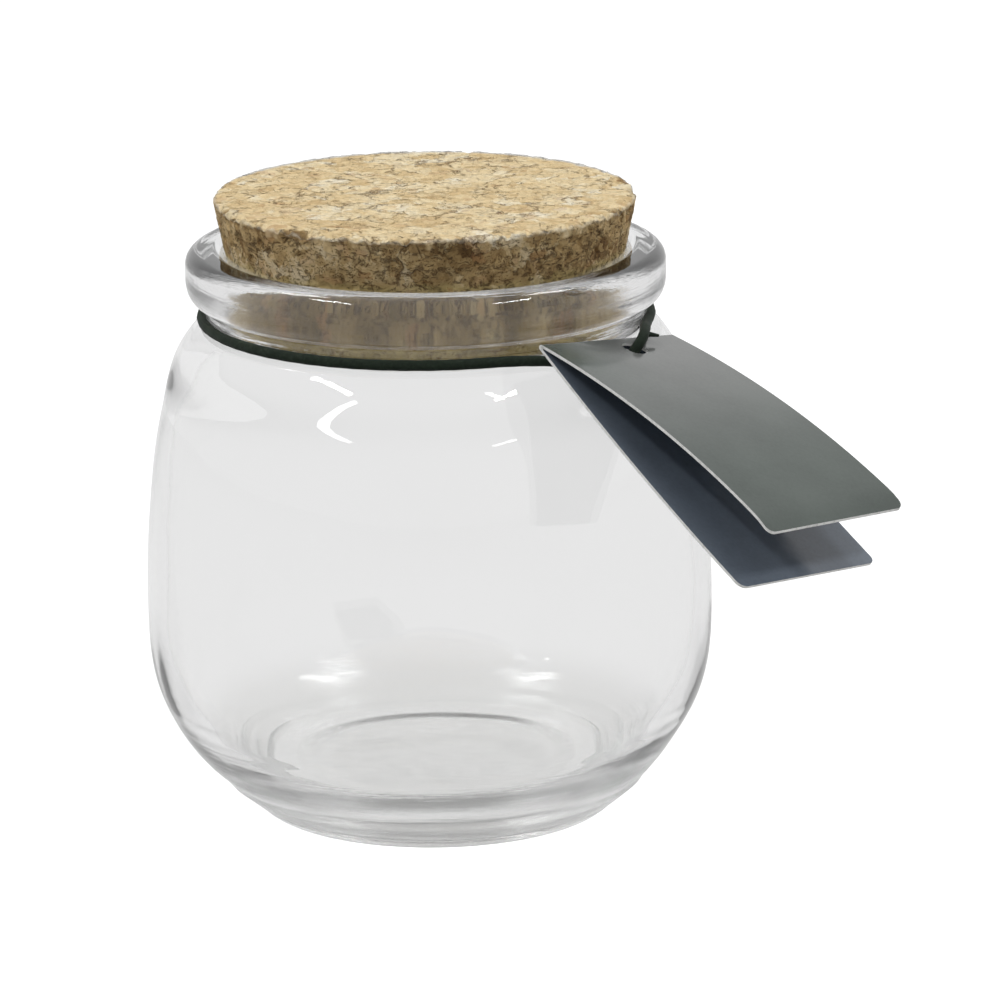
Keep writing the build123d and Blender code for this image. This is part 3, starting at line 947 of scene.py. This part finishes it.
def cord_mesh(line):
    """A closed round cord along the line, with fine ribs. Its last ring meets the first without a twist."""
    count = len(line)
    tangents = [(line[(k + 1) % count] - line[k - 1]).normalized() for k in range(count)]
    normal = tangents[0].orthogonal().normalized()
    verts, faces = [], []
    for k, tangent in enumerate(tangents):
        normal = (normal - tangent * normal.dot(tangent)).normalized()
        swell = ELASTIC_R + 0.01 + 0.02 * math.sin(1.3 * k)
        verts += ring_points(line[k], normal, tangent.cross(normal),
                             lambda a: swell + 0.028 * math.cos(10 * a), ELASTIC_SIDES)
    end = (count - 1) * ELASTIC_SIDES
    turned = min(range(ELASTIC_SIDES), key=lambda s: (verts[s] - verts[end]).length)
    for k in range(count - 1):
        faces += band(k * ELASTIC_SIDES, (k + 1) * ELASTIC_SIDES, ELASTIC_SIDES)
    faces += band(end, 0, ELASTIC_SIDES, turned)
    return verts, faces


def tail_mesh(place, start):
    """The thin cut end beside the hole. Its points are numbered from start."""
    root, tip = place @ Vector(TAIL_ROOT), place @ Vector(TAIL_TIP)
    side = (tip - root).orthogonal().normalized()
    other = (tip - root).normalized().cross(side)
    verts, faces = [], []
    for k in range(TAIL_STEPS + 1):
        share = k / TAIL_STEPS
        radius = TAIL_ROOT_R + (TAIL_TIP_R - TAIL_ROOT_R) * share
        verts += ring_points(root.lerp(tip, share), side, other, lambda a: radius, TAIL_SIDES)
    for k in range(TAIL_STEPS):
        faces += band(start + k * TAIL_SIDES, start + (k + 1) * TAIL_SIDES, TAIL_SIDES)
    end = start + TAIL_STEPS * TAIL_SIDES
    faces += [tuple(range(start, start + TAIL_SIDES))[::-1], tuple(range(end, end + TAIL_SIDES))]
    return verts, faces


def make_elastic():
    """The elastic, which follows the loop in the groove and the front leaf at the tag."""
    place = crease_frame()
    verts, faces = cord_mesh(elastic_line(place))
    tail_verts, tail_faces = tail_mesh(place, len(verts))
    piece = mesh_piece("elastic_loop", verts + tail_verts, faces + tail_faces, None,
                       "neck_elastic", elastic_material())
    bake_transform(piece)


CARD, CORE = card_material(), edge_material()
make_jar()
make_cork()
for is_back in (False, True):
    make_leaf(is_back, CARD, CORE)
make_elastic()


# Stage, light and camera

# The camera, fitted to the photo's outlines, with its distance in metres and its lens in millimetres
CAMERA_TARGET = Vector((12.6, 0, 54.7)) * MM
CAMERA_DISTANCE = 1.2376
CAMERA_DOWN = math.radians(14.73)
CAMERA_ROLL = math.radians(-0.6)
CAMERA_LENS = 252.0
CAMERA_SENSOR = 36.0
CAMERA_CLIP = (0.05, 50)
# Share of white that each kind of ray sees in the surroundings
SEEN_BY_CAMERA = 1.0
SEEN_IN_GLOSS = 0.9
SEEN_THROUGH_GLASS = 0.85
# Soft light from all round, weaker from the front, and more of it from above
SKY_LOW = 0.26
SKY_FRONT_SHARE = 0.75
SKY_HIGH = 0.32
WHITE = (1, 1, 1, 1)
# The floor: its half size in metres, its own grey, its share of white for the camera, and how far
# it gives way to the surroundings in reflections and through glass
FLOOR_HALF = 6.0
FLOOR_GREY = 0.6
FLOOR_GLOW = 0.66
FLOOR_CLEAR = 0.85
# Long lamps in the glass's reflections: name, both ends in metres, width in metres, radiance
LAMPS = [
    ("lamp_left", (-0.75, -0.17, 1.1), (-0.63, -0.68, 1.1), 0.055, 45),
    ("lamp_right", (0.82, -0.39, 1.1), (0.66, -0.90, 1.1), 0.055, 45),
    ("lamp_above_left", (-0.85, 0.3, 1.25), (-0.45, 0.3, 1.25), 0.24, 12),
    ("lamp_above_right", (0.45, 0.3, 1.25), (0.85, 0.3, 1.25), 0.24, 12),
]
LAMP_AIM = Vector((0, 0, 0.08))


def seen_strength(tree, plain):
    """Strength of the surroundings for each kind of ray, where plain is what lights the object."""
    path = add(tree, "LightPath")
    level = plain
    for kind, strength in (("Is Glossy Ray", SEEN_IN_GLOSS), ("Is Transmission Ray", SEEN_THROUGH_GLASS),
                           ("Is Camera Ray", SEEN_BY_CAMERA)):
        level = add(tree, "Mix", {0: path.outputs[kind], 2: level, 3: strength}, data_type="FLOAT").outputs[0]
    return level


def glow(tree, strength):
    """White light of a surface's own."""
    return add(tree, "Emission", {"Color": WHITE, "Strength": strength}).outputs[0]


def make_floor():
    """A wide pale floor that keeps the shadow and looks white where nothing shades it."""
    mesh = bpy.data.meshes.new("floor")
    corners = [(x * FLOOR_HALF, y * FLOOR_HALF, 0) for x, y in ((-1, -1), (1, -1), (1, 1), (-1, 1))]
    mesh.from_pydata(corners, [], [(0, 1, 2, 3)])
    floor = put_in_scene("floor", mesh)
    material, tree, shader = new_material("floor")
    set_inputs(tree, shader, {"Base Color": (FLOOR_GREY, FLOOR_GREY, FLOOR_GREY, 1), "Roughness": 1.0,
                              "Specular IOR Level": 0.0})
    path = add(tree, "LightPath")
    to_camera = maths(tree, "MULTIPLY", path.outputs["Is Camera Ray"], FLOOR_GLOW)
    lit = add(tree, "AddShader", {0: shader.outputs[0], 1: glow(tree, to_camera)})
    beyond = maths(tree, "MAXIMUM", path.outputs["Is Glossy Ray"], path.outputs["Is Transmission Ray"])
    share = maths(tree, "MULTIPLY", beyond, FLOOR_CLEAR)
    total = add(tree, "MixShader", {"Fac": share, 1: lit.outputs[0], 2: glow(tree, seen_strength(tree, 0.0))})
    set_inputs(tree, tree.nodes["Material Output"], {"Surface": total.outputs[0]})
    mesh.materials.append(material)


def make_world():
    """White where it is seen, reflected or looked at through glass, and soft light from above elsewhere."""
    world = bpy.data.worlds.new("studio")
    bpy.context.scene.world = world
    world.use_nodes = True
    tree = world.node_tree
    towards = add(tree, "SeparateXYZ", {0: add(tree, "TexCoord").outputs["Generated"]})
    above = maths(tree, "POWER", maths(tree, "MAXIMUM", towards.outputs["Z"], 0.0), 2.0)
    around = remap(tree, towards.outputs["Y"], -1, 1, SKY_LOW * SKY_FRONT_SHARE, SKY_LOW)
    sky = maths(tree, "ADD", maths(tree, "MULTIPLY", above, SKY_HIGH), around)
    set_inputs(tree, tree.nodes["Background"], {"Color": WHITE, "Strength": seen_strength(tree, sky)})


def make_lamp(name, start, end, width, radiance):
    """A long lamp between two points in metres, which looks at the jar."""
    start, end = Vector(start), Vector(end)
    along = end - start
    middle = (start + end) / 2
    back = (middle - LAMP_AIM).normalized()
    across = back.cross(along.normalized()).normalized()
    out = along.normalized().cross(across)
    data = bpy.data.lights.new(name, "AREA")
    data.shape = "RECTANGLE"
    data.size, data.size_y = along.length, width
    data.energy = radiance * math.pi * along.length * width
    axes = Matrix((along.normalized(), across, out)).transposed().to_4x4()
    put_in_scene(name, data).matrix_world = Matrix.Translation(middle) @ axes


def make_camera():
    """The camera at the photo's angle."""
    data = bpy.data.cameras.new("camera")
    data.lens = CAMERA_LENS
    data.sensor_width = CAMERA_SENSOR
    data.clip_start, data.clip_end = CAMERA_CLIP
    camera = put_in_scene("camera", data)
    forward = Vector((0, math.cos(CAMERA_DOWN), -math.sin(CAMERA_DOWN)))
    looking = forward.to_track_quat("-Z", "Y").to_matrix().to_4x4()
    camera.matrix_world = (Matrix.Translation(CAMERA_TARGET - forward * CAMERA_DISTANCE) @ looking
                           @ Matrix.Rotation(CAMERA_ROLL, 4, "Z"))
    bpy.context.scene.camera = camera


make_floor()
make_world()
for lamp in LAMPS:
    make_lamp(*lamp)
make_camera()
bpy.context.scene.view_settings.view_transform = "Standard"
